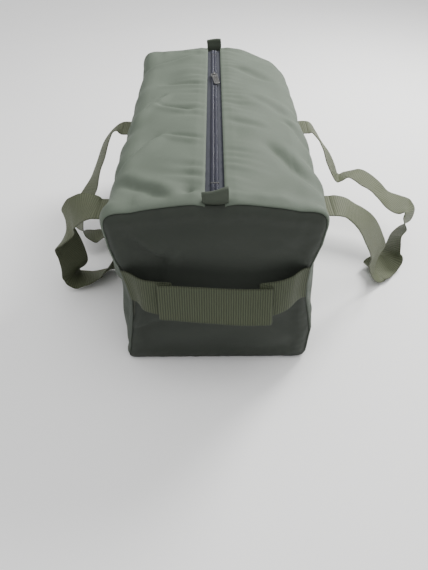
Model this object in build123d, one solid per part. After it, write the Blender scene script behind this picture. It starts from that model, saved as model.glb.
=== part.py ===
from build123d import *
import os
from math import cos, sin, pi, hypot

os.makedirs("parts", exist_ok=True)

# Garden tool bag, zipped shut. Millimetres, +Z up, origin at the centre of the base on the ground,
# +Y runs along the bag towards its rear end, so the near end panel faces -Y.

# ---- driving sizes -------------------------------------------------------------------------------
BAG_L = 510.0            # length along Y, over the end panels
BAG_W = 260.0            # width along X, over the side walls
SHOULDER_Z = 262.0       # height of the top fabric where it rounds over into the side walls
CROWN_Z = 272.0          # height of the top fabric along the zip
CROWN_HALF = 24.0        # half width of the flat strip that carries the zip
SHOULDER_R = 34.0
BOTTOM_R = 12.0
WALL = 2.0               # outer cloth, backing and lining together
TRAY_Z = 14.0            # the base cloth turns up to this height

BOARD_T = 3.0            # stiffener in the base
BIND_T, BIND_H = 2.5, 10.0   # inside seam binding

ZIP_SLOT = 23.0          # zip tape seen between the two top panels
TAPE_T, TAPE_UNDER = 0.8, 8.0    # zip tape, and how far it runs under each panel
COIL_GAP = 1.5           # between the two coil rows
COIL_W, COIL_H = 3.2, 2.4
STOP_L = 3.0
SLIDER_Y = 112.0         # slider as stored
SLIDER_L, PLATE_T = 14.0, 1.2
WEB_T = 0.8
PULL_L, PULL_W, PULL_T = 39.0, 9.0, 1.8
PULL_DROOP = 2.6         # degrees, so that the pull's tip comes down to the coil
TAB_W, TAB_H, TAB_D, TAB_T = 34.0, 18.0, 8.0, 1.6

STRAP_W, STRAP_T = 50.0, 1.6     # webbing
LEG_Y = 125.0            # carry handle legs, middle of each
LEG_TOP_Z = 150.0        # the legs are sewn down to here
HINGE_X, HINGE_Z = BAG_W / 2 + 28, 175.0     # where each carry handle bends over
LEG_DROP = 1.4           # the leg ends this much lower than the bend, so that the handle folds over it
END_Z = 150.0            # end handles, middle of their width
END_HINGE_X, END_HINGE_OFF = BAG_W / 2 - 32, 14.0    # where each end handle bends, and how far off the panel
END_SEWN_X = BAG_W / 2 - 6
END_OFF = 28.0           # how far the middle of an end handle stands off
FOLD_X, FOLD_IN, FOLD_PITCH = 69.0, 54.0, 4.0    # the two pleats in each end handle

CLEAR = 0.3              # running clearance
SEAT = 0.2               # gap between cloth pieces that lie against each other on curved faces

HALF_L, HALF_W = BAG_L / 2, BAG_W / 2
UNDER_Z = CROWN_Z - WALL         # underside of the flat zip strip
TAPE_Z = UNDER_Z - TAPE_T
COIL_X = COIL_GAP / 2
SLIDE_END = HALF_L - TAB_D - PULL_L - 1.0    # the slider stops here, its pull still clear of the tab
STOP_Y = SLIDE_END + SLIDER_L / 2 + 0.5 + STOP_L / 2
PIVOT_Z = UNDER_Z + COIL_H + CLEAR + PLATE_T + 1.6   # the pull's crossbar, over the slider's top plate

# Stations along each carry handle from its front bend to its rear bend: the middle of the webbing, as
# distance out from the bend line, y and z, then the direction of its width there, as out, y and z.
# The handles lie spread on the ground.
RIGHT_LOOP = [
    (8, -125, 176.5, 0, 1, 0), (17, -125, 177, 0, 1, .04), (29, -125, 174, .2, .98, 0),
    (40, -126, 167, .3, .95, -.05), (53, -127, 156, .4, .91, -.05), (68, -124, 138, .5, .85, -.03),
    (86, -114, 110, .55, .83, 0), (98, -108, 84, .6, .8, -.07), (104, -102, 62, .65, .74, -.15),
    (110, -94, 36, .4, .88, -.2), (115, -83, 12, -.27, .96, -.08), (128, -73, 10, -.4, .85, .2),
    (145, -55, 11, -.5, .8, .3), (154, -43, 16, -.3, .92, -.2), (157, -35, 29, -.15, .9, -.41),
    (161, -25, 42, 0, .86, -.52), (172, -16, 52, .06, .85, -.52), (180, -9, 66, .6, .66, -.43),
    (183, -2, 80, .64, .71, -.3), (173, 8, 83, .66, .74, .1), (159, 22, 84, .63, .77, .03),
    (144, 36, 89, .6, .77, -.2), (130, 51, 98, .58, .8, -.15), (114, 63, 105, .5, .86, -.03),
    (101, 70, 110, .4, .92, -.07), (88, 75, 109, .33, .91, -.25), (77, 77, 103, .27, .94, -.2),
    (68, 79, 99, .27, .94, -.23), (59, 85, 113, .35, .91, -.24), (50, 95, 129, .38, .87, -.3),
    (43, 103, 142, .33, .86, -.4), (34, 113, 154, .25, .87, -.42), (25, 120, 165, .17, .95, -.25),
    (17, 124, 174, .05, 1, -.05), (8, 125, 176.5, 0, 1, 0)]
LEFT_LOOP = [
    (8, -125, 176.5, 0, 1, 0), (15, -123, 178, 0, .97, .25), (25, -123, 176, 0, .93, .35),
    (38, -119, 171, .1, .89, .45), (49, -116, 163, .24, .86, .45), (57, -112, 154, .4, .84, .34),
    (64, -109, 139, .5, .8, .2), (72, -105, 120, .05, 1, .1), (79, -99, 99, -.5, .82, .1),
    (78, -95, 77, -.63, .77, .12), (77, -95, 59, -.69, .72, .06), (78, -94, 42, -.73, .68, -.03),
    (84, -92, 25, -.6, .8, 0), (86, -92, 17, -.2, .98, 0), (80, -92, 8, .05, 1, -.03),
    (70, -91, 8, .14, .98, -.15), (60, -90, 9, .19, .94, -.25), (49, -87, 11, .21, .89, -.36),
    (36, -83, 14, .22, .84, -.48), (22, -79, 20, .2, .6, -.77), (8, -69, 26, .1, .25, -.97),
    (-1, -53, 27, 0, 0, -1), (-5, -35, 27, 0, 0, -1), (-1, -17, 27, 0, 0, -1),
    (11, -5, 27, 0, .2, -.97), (27, 0, 27, 0, .5, -.85), (42, 2, 27, .05, .85, -.5),
    (56, 3, 27, .18, .98, -.15), (68, 2, 29, .22, .96, -.2), (82, 1, 38, .4, .85, -.34),
    (90, 12, 55, .6, .6, -.55), (85, 35, 75, .7, .6, -.4), (72, 57, 90, .68, .64, -.36),
    (63, 74, 106, .51, .75, -.43), (57, 84, 120, .44, .8, -.42), (50, 94, 134, .43, .81, -.39),
    (44, 104, 148, .4, .83, -.38), (37, 112, 161, .34, .86, -.38), (29, 120, 171, .25, .88, -.38),
    (19, 124, 177, .15, .91, -.25), (8, 125, 176.5, 0, 1, 0)]


# ---- helpers -------------------------------------------------------------------------------------
def out(name, shape):
    """Write one named piece."""
    solids = shape.solids()
    piece = solids[0] if len(solids) == 1 else Compound(children=list(solids))
    piece.label = name
    export_step(piece, os.path.join("parts", name + ".step"))
    return piece


def box(x0, x1, y0, y1, z0, z1):
    return Pos((x0 + x1) / 2, (y0 + y1) / 2, (z0 + z1) / 2) * Box(x1 - x0, y1 - y0, z1 - z0)


def arc(cx, cz, r, a0, a1, n=6):
    """Points on an arc, angles in degrees."""
    return [(cx + r * cos((a0 + (a1 - a0) * i / n) * pi / 180),
             cz + r * sin((a0 + (a1 - a0) * i / n) * pi / 180)) for i in range(n + 1)]


def band(points, t):
    """Closed outline of a strip of thickness t along a flat run of points."""
    def normal(i):
        a, b = points[max(i - 1, 0)], points[min(i + 1, len(points) - 1)]
        dx, dy = b[0] - a[0], b[1] - a[1]
        s = hypot(dx, dy)
        return -dy / s * t / 2, dx / s * t / 2
    one = [(p[0] + normal(i)[0], p[1] + normal(i)[1]) for i, p in enumerate(points)]
    two = [(p[0] - normal(i)[0], p[1] - normal(i)[1]) for i, p in enumerate(points)]
    return one + two[::-1]


def prism(outline, plane, low, high):
    """Extrude an outline drawn in 'XZ', 'YZ' or 'XY' along the remaining axis from low to high."""
    lift = {"XZ": lambda p: Vector(p[0], low, p[1]), "YZ": lambda p: Vector(low, p[0], p[1]),
            "XY": lambda p: Vector(p[0], p[1], low)}[plane]
    way = {"XZ": Vector(0, 1, 0), "YZ": Vector(1, 0, 0), "XY": Vector(0, 0, 1)}[plane]
    face = Face(Wire.make_polygon([lift(p) for p in outline], close=True))
    return Solid.extrude(face, way * (high - low))


def section(inset):
    """Bag cross-section in XZ, moved in from the outside by inset."""
    w, top = HALF_W - inset, CROWN_Z - inset
    r_low, r_high = max(BOTTOM_R - inset, 1.0), SHOULDER_R - inset
    half = arc(w - r_low, inset + r_low, r_low, -90, 0, 4)
    slope = (CROWN_Z - SHOULDER_Z) / (HALF_W - SHOULDER_R - CROWN_HALF)
    half += arc(w - r_high, SHOULDER_Z - inset - r_high, r_high, 0, 84, 8)
    half.append((CROWN_HALF, top))
    return half + [(-x, z) for x, z in half[::-1]]


def shell():
    """The bag's cloth as one tube along Y, between the end panels."""
    low, high = -HALF_L + WALL, HALF_L - WALL
    return prism(section(0), "XZ", low, high) - prism(section(WALL), "XZ", low - 1, high + 1)


# ---- bag cloth -----------------------------------------------------------------------------------
def cloth():
    tube = shell()
    out("base_panel", tube & box(-HALF_W - 1, HALF_W + 1, -HALF_L, HALF_L, -1, TRAY_Z))
    for side, s in (("left", -1), ("right", 1)):
        x0, x1 = sorted((s * ZIP_SLOT / 2, s * (HALF_W + 1)))
        out("panel_" + side, tube & box(x0, x1, -HALF_L, HALF_L, TRAY_Z, CROWN_Z + 1))
    for end, s in (("front", -1), ("rear", 1)):
        y = s * (HALF_L - WALL)
        out("end_panel_" + end, prism(section(0), "XZ", *sorted((y, y + s * WALL))))
        ring = sorted((y, y - s * BIND_T))
        outer = prism(section(WALL + SEAT), "XZ", *ring)
        inner = prism(section(WALL + SEAT + BIND_H), "XZ", ring[0] - 1, ring[1] + 1)
        out("seam_binding_" + end, outer - inner)
    y = HALF_L - WALL - BIND_T - 1.0
    x = HALF_W - BOTTOM_R - 2.0
    out("base_board", fillet(box(-x, x, -y, y, WALL, WALL + BOARD_T).edges().filter_by(Axis.Z), 20))


# ---- zip -----------------------------------------------------------------------------------------
def zip_parts():
    end = HALF_L - WALL - BIND_T - 0.5
    for side, s in (("left", -1), ("right", 1)):
        xs = sorted((s * COIL_X, s * (ZIP_SLOT / 2 + TAPE_UNDER)))
        out("zip_tape_" + side, box(*xs, -end, end, TAPE_Z, UNDER_Z))
        xs = sorted((s * COIL_X, s * (COIL_X + COIL_W)))
        end_y = STOP_Y - STOP_L / 2
        out("zip_coil_" + side, box(*xs, -end_y, end_y, UNDER_Z, UNDER_Z + COIL_H))
    for name, y in (("front", -STOP_Y), ("rear", STOP_Y)):
        x = COIL_X + COIL_W + 0.6
        out("zip_stop_" + name, box(-x, x, y - STOP_L / 2, y + STOP_L / 2, UNDER_Z, UNDER_Z + COIL_H + 0.6))
    for name, s in (("front", -1), ("rear", 1)):
        mid = s * (HALF_L - TAB_D / 2)
        r = (TAB_D - TAB_T) / 2
        bend = arc(mid, CROWN_Z + TAB_H - TAB_D / 2, r, 180, 0, 10)
        run = [(mid - r, CROWN_Z)] + bend + [(mid + r, CROWN_Z)]
        out("zip_tab_" + name, prism(band(run, TAB_T), "YZ", -TAB_W / 2, TAB_W / 2))


def zip_slider():
    """Two plates joined by a web between the coil rows, flanges beside the rows, a bridge on top."""
    y0, y1 = SLIDER_Y - SLIDER_L / 2, SLIDER_Y + SLIDER_L / 2
    row = COIL_X + COIL_W + CLEAR
    top = UNDER_Z + COIL_H + CLEAR
    half = row + 1.1
    body = box(-half, half, y0, y1, top, top + PLATE_T)
    body += box(-half, half, y0, y1, TAPE_Z - CLEAR - PLATE_T, TAPE_Z - CLEAR)
    body += box(-WEB_T / 2, WEB_T / 2, SLIDER_Y - 4, SLIDER_Y + 4, TAPE_Z - CLEAR - 0.1, top + 0.1)
    for s in (-1, 1):
        body += box(*sorted((s * row, s * half)), y0, y1, UNDER_Z + CLEAR, top + 0.1)
    bar = top + PLATE_T + 3.2
    body += box(-1, 1, SLIDER_Y - 4.5, SLIDER_Y + 4.5, bar, bar + 1.2)
    for y in (SLIDER_Y - 4.5, SLIDER_Y + 3.3):
        body += box(-1, 1, y, y + 1.2, top + PLATE_T - 0.1, bar + 0.1)
    out("zip_slider", body)


def zip_pull():
    """Crossbar under the bridge, two cheeks beside it, then the flat plate that lies forward."""
    cheek = 2.3
    pull = Pos(0, 0, 0) * Rot(0, 90, 0) * Cylinder(0.8, 2 * cheek + 2)
    for s in (-1, 1):
        pull += box(*sorted((s * cheek, s * (cheek + 1))), -8.0, 0.9, -0.9, 0.9)
    pull += fillet(box(-PULL_W / 2, PULL_W / 2, -PULL_L, -7.2, -PULL_T / 2, PULL_T / 2)
                   .edges().filter_by(Axis.Z), 1.5)
    out("zip_pull", Pos(0, SLIDER_Y, PIVOT_Z) * Rot(PULL_DROOP, 0, 0) * pull)


# ---- webbing -------------------------------------------------------------------------------------
def side_straps():
    """The sewn legs of the carry handles, up to the bend where each handle begins to swing."""
    wall = HALF_W + STRAP_T / 2
    r = 14.0
    run = [(wall, TRAY_Z + 1), (wall, 60), (wall, 110), (wall, LEG_TOP_Z)]
    top = HINGE_Z - LEG_DROP
    run += arc(wall + r, top - r, r, 180, 90, 7)
    run.append((HINGE_X - STRAP_T / 2 - CLEAR, top))
    for side, s in (("left", -1), ("right", 1)):
        outline = band([(s * x, z) for x, z in run], STRAP_T)
        for end, y in (("front", -LEG_Y), ("rear", LEG_Y)):
            out(f"side_strap_{side}_{end}", prism(outline, "XZ", y - STRAP_W / 2, y + STRAP_W / 2))


def ribbon(stations):
    """Webbing lofted from each station's flat section to the next."""
    rings = []
    for i, st in enumerate(stations):
        here, a, b = Vector(*st[:3]), stations[max(i - 1, 0)], stations[min(i + 1, len(stations) - 1)]
        along = (Vector(*b[:3]) - Vector(*a[:3])).normalized()
        wide = Vector(*st[3:])
        wide = (wide - along * wide.dot(along)).normalized()
        thick = along.cross(wide)
        corners = [here + wide * (p * STRAP_W / 2) + thick * (q * STRAP_T / 2)
                   for p, q in ((-1, -1), (1, -1), (1, 1), (-1, 1))]
        rings.append(Wire.make_polygon(corners, close=True))
    return [Solid.make_loft(list(pair), ruled=True) for pair in zip(rings, rings[1:])]


def carry_handles():
    """Each handle swings on the line through its two bends."""
    for side, s, loop in (("left", -1, LEFT_LOOP), ("right", 1, RIGHT_LOOP)):
        run = ribbon([(s * (HINGE_X + d), y, z, s * wx, wy, wz) for d, y, z, wx, wy, wz in loop])
        for y in (-LEG_Y, LEG_Y):
            run.append(Pos(s * HINGE_X, y, HINGE_Z) * Rot(90, 0, 0) * Cylinder(STRAP_T / 2, STRAP_W))
            nose = [(s * (HINGE_X + dx), HINGE_Z + dz) for dx, dz in ((0, 0), (4, 0.8), (8, 1.5))]
            run.append(prism(band(nose, STRAP_T), "XZ", y - STRAP_W / 2, y + STRAP_W / 2))
        body = run[0].fuse(*run[1:])
        out("carry_handle_" + side, body)


def end_handles():
    """Webbing across each end panel: short fixed roots at the seams, and a pleated grip between."""
    low, high = END_Z - STRAP_W / 2, END_Z + STRAP_W / 2
    back, mid, fore = END_OFF - 2 * FOLD_PITCH, END_OFF - FOLD_PITCH, END_OFF
    r = FOLD_PITCH / 2
    half = [(END_HINGE_X + 3, END_HINGE_OFF - 1.7), (END_HINGE_X - 8, END_HINGE_OFF + 3.4),
            (FOLD_X + 8, back - 0.6), (FOLD_X - 2, back)]
    half += arc(FOLD_IN, back + r, r, -90, -270, 8)
    half += arc(FOLD_X - r, mid + r, r, -90, 90, 8)
    grip_run = half + [(-x, y) for x, y in half[::-1]]
    root_run = [(END_SEWN_X, STRAP_T / 2), (END_SEWN_X - 5, STRAP_T / 2), (END_HINGE_X + 12, 8.0),
                (END_HINGE_X - 3, END_HINGE_OFF + 1.7)]
    for end, s in (("front", -1), ("rear", 1)):
        face = s * HALF_L
        for side, m in (("left", -1), ("right", 1)):
            root = prism(band([(m * x, face + s * y) for x, y in root_run], STRAP_T), "XY", low, high)
            xs = sorted((m * (END_HINGE_X + CLEAR), m * HALF_W))
            out(f"end_strap_{end}_{side}", root & box(*xs, *sorted((face, face + s * 60)), low, high))
        grip = prism(band([(x, face + s * y) for x, y in grip_run], STRAP_T), "XY", low, high)
        span = box(-END_HINGE_X, END_HINGE_X, *sorted((face, face + s * 60)), low, high)
        out("end_handle_" + end, grip & span)


cloth()
zip_parts()
zip_slider()
zip_pull()
side_straps()
carry_handles()
end_handles()
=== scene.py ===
from math import cos, sin, pi, radians
import bpy
import numpy as np
from mathutils import Matrix, Vector


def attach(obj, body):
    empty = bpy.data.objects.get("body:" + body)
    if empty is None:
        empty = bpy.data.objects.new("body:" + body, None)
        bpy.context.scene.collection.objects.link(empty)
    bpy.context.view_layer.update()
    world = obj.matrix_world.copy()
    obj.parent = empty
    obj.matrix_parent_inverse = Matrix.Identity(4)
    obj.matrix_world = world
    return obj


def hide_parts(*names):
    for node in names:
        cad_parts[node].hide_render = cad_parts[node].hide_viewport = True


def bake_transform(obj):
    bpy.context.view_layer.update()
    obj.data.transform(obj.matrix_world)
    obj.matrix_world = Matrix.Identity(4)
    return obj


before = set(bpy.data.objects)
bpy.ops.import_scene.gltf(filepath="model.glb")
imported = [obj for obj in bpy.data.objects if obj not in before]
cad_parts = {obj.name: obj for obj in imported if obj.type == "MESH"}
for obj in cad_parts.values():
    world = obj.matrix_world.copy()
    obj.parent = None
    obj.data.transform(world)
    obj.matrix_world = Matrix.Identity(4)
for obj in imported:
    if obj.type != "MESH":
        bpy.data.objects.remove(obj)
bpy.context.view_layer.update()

# ---- sizes in metres, the same as the frame -------------------------------------------------------
HALF_L, HALF_W = .255, .130
SHOULDER_Z, CROWN_Z, SHOULDER_R, BOTTOM_R = .262, .272, .034, .012
CROWN_HALF, TRAY_Z, ZIP_HALF = .024, .014, .0115
COIL_Z, STOP_Y, SLIDER_Y = .270, .216, .112
PIVOT_Z = .2755
WEB, WEB_T = .050, .0015
HINGE_X, END_HINGE_X = .158, .098
LEG_Y = .125           # the carry handles' legs, middle of each
PAINTED_SHADE_SPAN = .3         # height over which the painted shade on the walls is graded

# The carry handles from bend to bend: out from the bend line, y and z of the webbing's middle, then
# the direction of its width, in millimetres.
RIGHT_LOOP = [
    (8, -125, 176.5, 0, 1, 0), (17, -125, 177, 0, 1, .04), (29, -125, 174, .2, .98, 0),
    (40, -126, 167, .3, .95, -.05), (53, -127, 156, .4, .91, -.05), (68, -124, 138, .5, .85, -.03),
    (86, -114, 110, .55, .83, 0), (98, -108, 84, .6, .8, -.07), (104, -102, 62, .65, .74, -.15),
    (110, -94, 36, .4, .88, -.2), (115, -83, 12, -.27, .96, -.08), (128, -73, 10, -.4, .85, .2),
    (145, -55, 11, -.5, .8, .3), (154, -43, 16, -.3, .92, -.2), (157, -35, 29, -.15, .9, -.41),
    (161, -25, 42, 0, .86, -.52), (172, -16, 52, .06, .85, -.52), (180, -9, 66, .6, .66, -.43),
    (183, -2, 80, .64, .71, -.3), (173, 8, 83, .66, .74, .1), (159, 22, 84, .63, .77, .03),
    (144, 36, 89, .6, .77, -.2), (130, 51, 98, .58, .8, -.15), (114, 63, 105, .5, .86, -.03),
    (101, 70, 110, .4, .92, -.07), (88, 75, 109, .33, .91, -.25), (77, 77, 103, .27, .94, -.2),
    (68, 79, 99, .27, .94, -.23), (59, 85, 113, .35, .91, -.24), (50, 95, 129, .38, .87, -.3),
    (43, 103, 142, .33, .86, -.4), (34, 113, 154, .25, .87, -.42), (25, 120, 165, .17, .95, -.25),
    (17, 124, 174, .05, 1, -.05), (8, 125, 176.5, 0, 1, 0)]
LEFT_LOOP = [
    (8, -125, 176.5, 0, 1, 0), (16, -124, 177, 0, .99, .12), (26, -122, 175.5, .02, .95, .28),
    (38, -119, 171, .1, .89, .45), (49, -116, 163, .24, .86, .45), (57, -112, 154, .4, .84, .34),
    (64, -109, 139, .5, .8, .2), (72, -105, 120, .05, 1, .1), (79, -99, 99, -.5, .82, .1),
    (78, -95, 77, -.63, .77, .12), (77, -95, 59, -.69, .72, .06), (78, -94, 42, -.73, .68, -.03),
    (84, -92, 25, -.6, .8, 0), (86, -92, 17, -.2, .98, 0), (80, -92, 8, .05, 1, -.03),
    (70, -91, 8, .14, .98, -.15), (60, -90, 9, .19, .94, -.25), (49, -87, 11, .21, .89, -.36),
    (36, -83, 14, .22, .84, -.48), (22, -79, 20, .2, .6, -.77), (8, -69, 26, .1, .25, -.97),
    (-1, -53, 27, 0, 0, -1), (-5, -35, 27, 0, 0, -1), (-1, -17, 27, 0, 0, -1),
    (11, -5, 27, 0, .2, -.97), (27, 0, 27, 0, .5, -.85), (42, 2, 27, .05, .85, -.5),
    (56, 3, 27, .18, .98, -.15), (68, 2, 29, .22, .96, -.2), (82, 1, 38, .4, .85, -.34),
    (90, 12, 55, .6, .6, -.55), (85, 35, 75, .7, .6, -.4), (72, 57, 90, .68, .64, -.36),
    (63, 74, 106, .51, .75, -.43), (57, 84, 120, .44, .8, -.42), (50, 94, 134, .43, .81, -.39),
    (44, 104, 148, .4, .83, -.38), (37, 112, 161, .34, .86, -.38), (29, 120, 171, .25, .88, -.38),
    (19, 124, 177, .15, .91, -.25), (8, 125, 176.5, 0, 1, 0)]


# ---- node materials --------------------------------------------------------------------------------
class Nodes:
    """A small writer for one material's nodes."""
    def __init__(self, name):
        self.mat = bpy.data.materials.new(name)
        self.mat.use_nodes = True
        self.tree = self.mat.node_tree
        self.shader = self.tree.nodes["Principled BSDF"]

    def add(self, kind):
        return self.tree.nodes.new("ShaderNode" + kind)

    def put(self, socket, v):
        if isinstance(v, bpy.types.NodeSocket):
            self.tree.links.new(v, socket)
        else:
            socket.default_value = v

    def coords(self, scale=(1, 1, 1), which="UV", turn=0):
        c = self.add("TexCoord").outputs[which]
        m = self.add("Mapping")
        self.put(m.inputs["Vector"], c)
        m.inputs["Scale"].default_value = scale
        m.inputs["Rotation"].default_value = (0, 0, turn)
        return m.outputs[0]

    def noise(self, vector, scale, detail=3, rough=.5):
        n = self.add("TexNoise")
        self.put(n.inputs["Vector"], vector)
        n.inputs["Scale"].default_value = scale
        n.inputs["Detail"].default_value = detail
        n.inputs["Roughness"].default_value = rough
        return n.outputs[0]

    def wave(self, vector, scale, way="X", warp=0):
        n = self.add("TexWave")
        n.bands_direction = way
        self.put(n.inputs["Vector"], vector)
        n.inputs["Scale"].default_value = scale
        n.inputs["Distortion"].default_value = warp
        return n.outputs[1]

    def math(self, op, a, b=0.0):
        n = self.add("Math")
        n.operation = op
        self.put(n.inputs[0], a)
        self.put(n.inputs[1], b)
        return n.outputs[0]

    def ramp(self, fac, stops):
        n = self.add("ValToRGB")
        self.put(n.inputs[0], fac)
        el = n.color_ramp.elements
        while len(el) < len(stops):
            el.new(.5)
        for e, (at, colour) in zip(el, stops):
            e.position, e.color = at, (*colour, 1)
        return n.outputs[0]

    def mix(self, fac, a, b, how="MIX"):
        n = self.add("Mix")
        n.data_type, n.blend_type = "RGBA", how
        self.put(n.inputs[0], fac)
        self.put(n.inputs[6], a)
        self.put(n.inputs[7], b)
        return n.outputs[2]

    def bump(self, height, strength, distance, under=None):
        n = self.add("Bump")
        n.inputs["Strength"].default_value = strength
        n.inputs["Distance"].default_value = distance
        self.put(n.inputs["Height"], height)
        if under is not None:
            self.put(n.inputs["Normal"], under)
        return n.outputs[0]

    def finish(self, colour, rough, normal, **sockets):
        self.put(self.shader.inputs["Base Color"], colour)
        self.put(self.shader.inputs["Roughness"], rough)
        if normal is not None:
            self.put(self.shader.inputs["Normal"], normal)
        for k, v in sockets.items():
            self.shader.inputs[k.replace("_", " ")].default_value = v
        return self.mat


def shade(c, k):
    return tuple(x * k for x in c)


def cloth_mat(name, base, sheen, rough=.72, weave=.34, wear=.5, low=1.0):
    """Plain-woven nylon: two thread directions, slubs, slow shade changes and rubbed patches.
    With low under 1 it darkens towards the floor: painted shade on the lower walls."""
    m = Nodes(name)
    uv = m.coords()
    warp = m.wave(uv, 1100, "X", .6)
    weft = m.wave(uv, 1100, "Y", .6)
    cross = m.math("MAXIMUM", warp, weft)
    slub = m.noise(m.coords((1800, 90, 1)), 1, 2)
    slub2 = m.noise(m.coords((90, 1800, 1)), 1, 2)
    slow = m.noise(m.coords(which="Object"), 9, 4, .55)
    patch = m.noise(m.coords(which="Object"), 38, 3, .6)
    tone = m.ramp(slow, [(.3, shade(base, .88)), (.7, shade(base, 1.1))])
    tone = m.mix(m.math("MULTIPLY", patch, .35), tone, (*shade(base, .84), 1))
    tone = m.mix(m.math("MULTIPLY", cross, weave), (*shade(base, .66), 1), tone)
    grain = m.mix(.35, slub, slub2)
    tone = m.mix(m.math("MULTIPLY", grain, .16), tone, (*shade(base, 1.5), 1))
    tone = m.mix(.62, tone, m.ramp(slow, [(.25, shade(base, .93)), (.75, shade(base, 1.07))]))
    worn = m.ramp(m.noise(m.coords(which="Object"), 85, 5, .7), [(.56, (0, 0, 0)), (.8, (1, 1, 1))])
    rgh = m.math("ADD", m.math("MULTIPLY", worn, -.1 * wear), rough)
    # painted shade: the colour is multiplied darker towards the floor, standing in for the shade on the
    # lower walls
    if low < 1:
        x = m.add("SeparateXYZ")
        m.put(x.inputs[0], m.coords(which="Object"))
        height = m.math("MULTIPLY", x.outputs[2], 1 / PAINTED_SHADE_SPAN)
        painted_shade_ramp = m.ramp(height, [(.40, (low,) * 3), (.82, (1, 1, 1))])
        tone = m.mix(1.0, tone, painted_shade_ramp, "MULTIPLY")
    n1 = m.bump(cross, .3, .00012)
    n2 = m.bump(m.noise(m.coords(which="Object"), 55, 4, .6), .25, .0016, n1)
    return m.finish(tone, rgh, n2, Sheen_Weight=sheen, Sheen_Roughness=.45,
                    Sheen_Tint=(*base, 1), Specular_IOR_Level=.32)


def webbing_mat(name, base, gap=.52):
    """Ribbed webbing: cords across the strap, fine lengthwise threads, and dirt along the edges.
    gap is how dark the grooves between the cords are."""
    m = Nodes(name)
    uv = m.coords()
    ribs = m.wave(uv, 105, "Y", .35)
    fine = m.wave(uv, 700, "X", .8)
    rib = m.ramp(ribs, [(.18, (0, 0, 0)), (.55, (1, 1, 1))])
    slow = m.noise(m.coords(which="Object"), 16, 4, .6)
    tone = m.ramp(slow, [(.3, shade(base, .86)), (.72, shade(base, 1.12))])
    tone = m.mix(rib, (*shade(base, gap), 1), tone)
    tone = m.mix(m.math("MULTIPLY", fine, .25), tone, (*shade(base, .7), 1))
    fleck = m.noise(m.coords((700, 260, 1)), 1, 2)
    tone = m.mix(m.math("MULTIPLY", fleck, .3), tone, (*shade(base, 1.35), 1))
    x = m.add("SeparateXYZ")
    m.put(x.inputs[0], uv)
    edge = m.math("ABSOLUTE", m.math("SUBTRACT", x.outputs[0], WEB / 2))
    edge = m.ramp(m.math("MULTIPLY", edge, 1 / WEB), [(.455, (1, 1, 1)), (.485, (.7, .7, .68))])
    tone = m.mix(1.0, tone, edge, "MULTIPLY")
    n1 = m.bump(rib, .7, .0006)
    n2 = m.bump(fine, .35, .00012, n1)
    rgh = m.math("ADD", m.math("MULTIPLY", slow, .12), .56)
    return m.finish(tone, rgh, n2, Sheen_Weight=.15, Sheen_Roughness=.5,
                    Sheen_Tint=(*base, 1), Specular_IOR_Level=.35)


def tape_mat(name, base):
    """Zip tape: fine lengthwise knit ribs with a herringbone hint."""
    m = Nodes(name)
    uv = m.coords()
    ribs = m.wave(uv, 330, "X", .5)
    knit = m.wave(m.coords(turn=.7), 620, "X", 1.0)
    slow = m.noise(m.coords(which="Object"), 22, 3)
    tone = m.ramp(slow, [(.3, shade(base, .82)), (.7, shade(base, 1.15))])
    tone = m.mix(m.math("MULTIPLY", ribs, .4), tone, (*shade(base, .6), 1))
    tone = m.mix(m.math("MULTIPLY", knit, .25), tone, (*shade(base, 1.35), 1))
    n1 = m.bump(ribs, .5, .0002)
    n2 = m.bump(knit, .4, .0001, n1)
    return m.finish(tone, .66, n2, Sheen_Weight=.12, Specular_IOR_Level=.35)


def nylon_mat(name, base, rough=.3):
    """Moulded nylon of the coil: slightly cloudy and glossy."""
    m = Nodes(name)
    v = m.coords(which="Object")
    tone = m.ramp(m.noise(v, 120, 3), [(.3, shade(base, .8)), (.7, shade(base, 1.2))])
    rgh = m.math("ADD", m.math("MULTIPLY", m.noise(v, 400, 2), .14), rough)
    return m.finish(tone, rgh, m.bump(m.noise(v, 1400, 2), .15, .00005), Specular_IOR_Level=.55)


def metal_mat(name, base, rough=.26):
    """Dark plated metal, rubbed brighter on raised edges and lightly scratched."""
    m = Nodes(name)
    v = m.coords(which="Object")
    rub = m.add("NewGeometry").outputs["Pointiness"]
    rub = m.ramp(rub, [(.5, (0, 0, 0)), (.58, (1, 1, 1))])
    mottle = m.noise(v, 500, 4, .6)
    tone = m.ramp(mottle, [(.3, shade(base, .75)), (.7, shade(base, 1.25))])
    tone = m.mix(rub, tone, (*shade(base, 2.6), 1))
    scratch = m.noise(m.coords((900, 5000, 2500), "Object"), 1, 2)
    rgh = m.math("ADD", m.math("MULTIPLY", mottle, .16), rough)
    return m.finish(tone, rgh, m.bump(scratch, .12, .00004), Metallic=1.0)


def thread_mat(name, base):
    m = Nodes(name)
    v = m.coords(which="Object", turn=.6)
    ply = m.wave(v, 900, "DIAGONAL", .4)
    tone = m.mix(m.math("MULTIPLY", ply, .5), (*base, 1), (*shade(base, .55), 1))
    return m.finish(tone, .6, m.bump(ply, .5, .0001), Sheen_Weight=.2)


# low=.46 darkens the lower walls as painted shade
SHELL = cloth_mat("shell_fabric_weave", (.106, .130, .101), .20, low=.46)
# painted shade: the end panels use the shell cloth made much darker, standing in for the shade on the ends
END_CLOTH_PAINTED_SHADE = cloth_mat("end_fabric_weave_painted_shade", (.031, .037, .029), .10)
BIND = cloth_mat("binding_weave", (.06, .065, .05), .1)
WEBBING = webbing_mat("webbing_ribs", (.100, .112, .066))
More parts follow.
